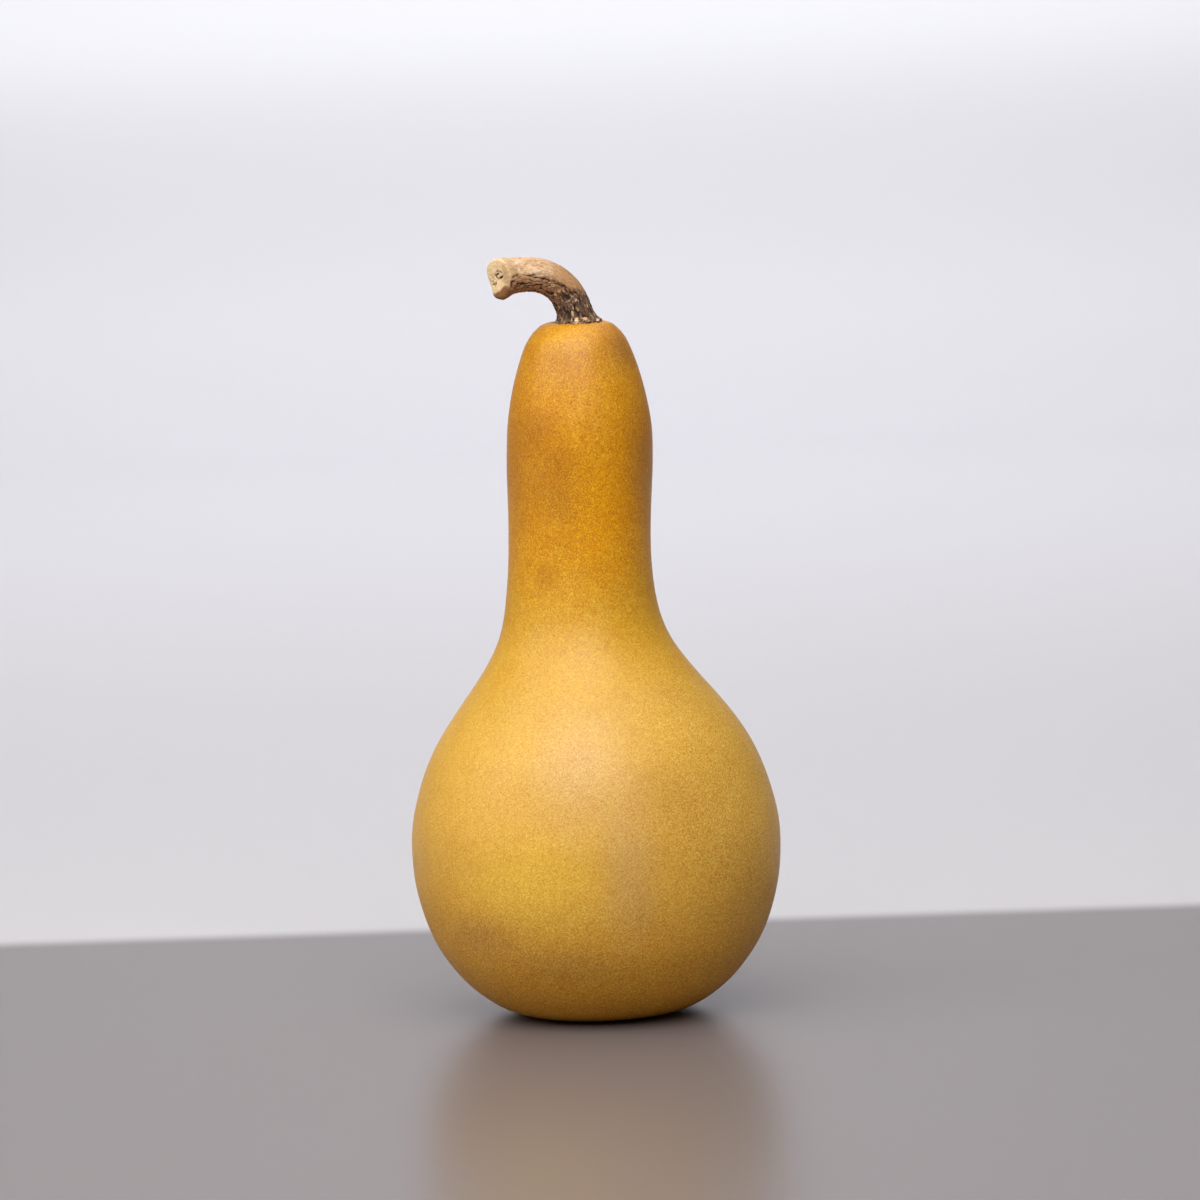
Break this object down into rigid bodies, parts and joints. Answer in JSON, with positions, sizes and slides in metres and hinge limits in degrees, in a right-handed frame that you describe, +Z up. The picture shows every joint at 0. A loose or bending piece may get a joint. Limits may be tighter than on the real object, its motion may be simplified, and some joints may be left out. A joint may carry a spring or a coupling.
{
  "type": "dried bottle gourd",
  "caption": "Dried bottle gourd with a round belly, a long straight neck and a curved, ridged stalk; it stands upright on a small flat spot under its base.",
  "frame": {"origin": "middle of the small flat spot that the gourd stands on, under its base", "axes": "+Z up through the neck, +X to the viewer's right, -Y towards the viewer; the stalk bends towards -X and a little towards -Y"},
  "size_m": [0.0974, 0.096, 0.2006],
  "materials": {
    "rind": "smooth hard rind with a waxy satin sheen, ochre yellow with faint brown mottling",
    "stalk": "dry matt woody stalk, pale tan on top with dark brown wrinkles below"
  },
  "bodies": {
    "root": {"gourd": "rind", "stem": "stalk"}
  },
  "joints": []
}
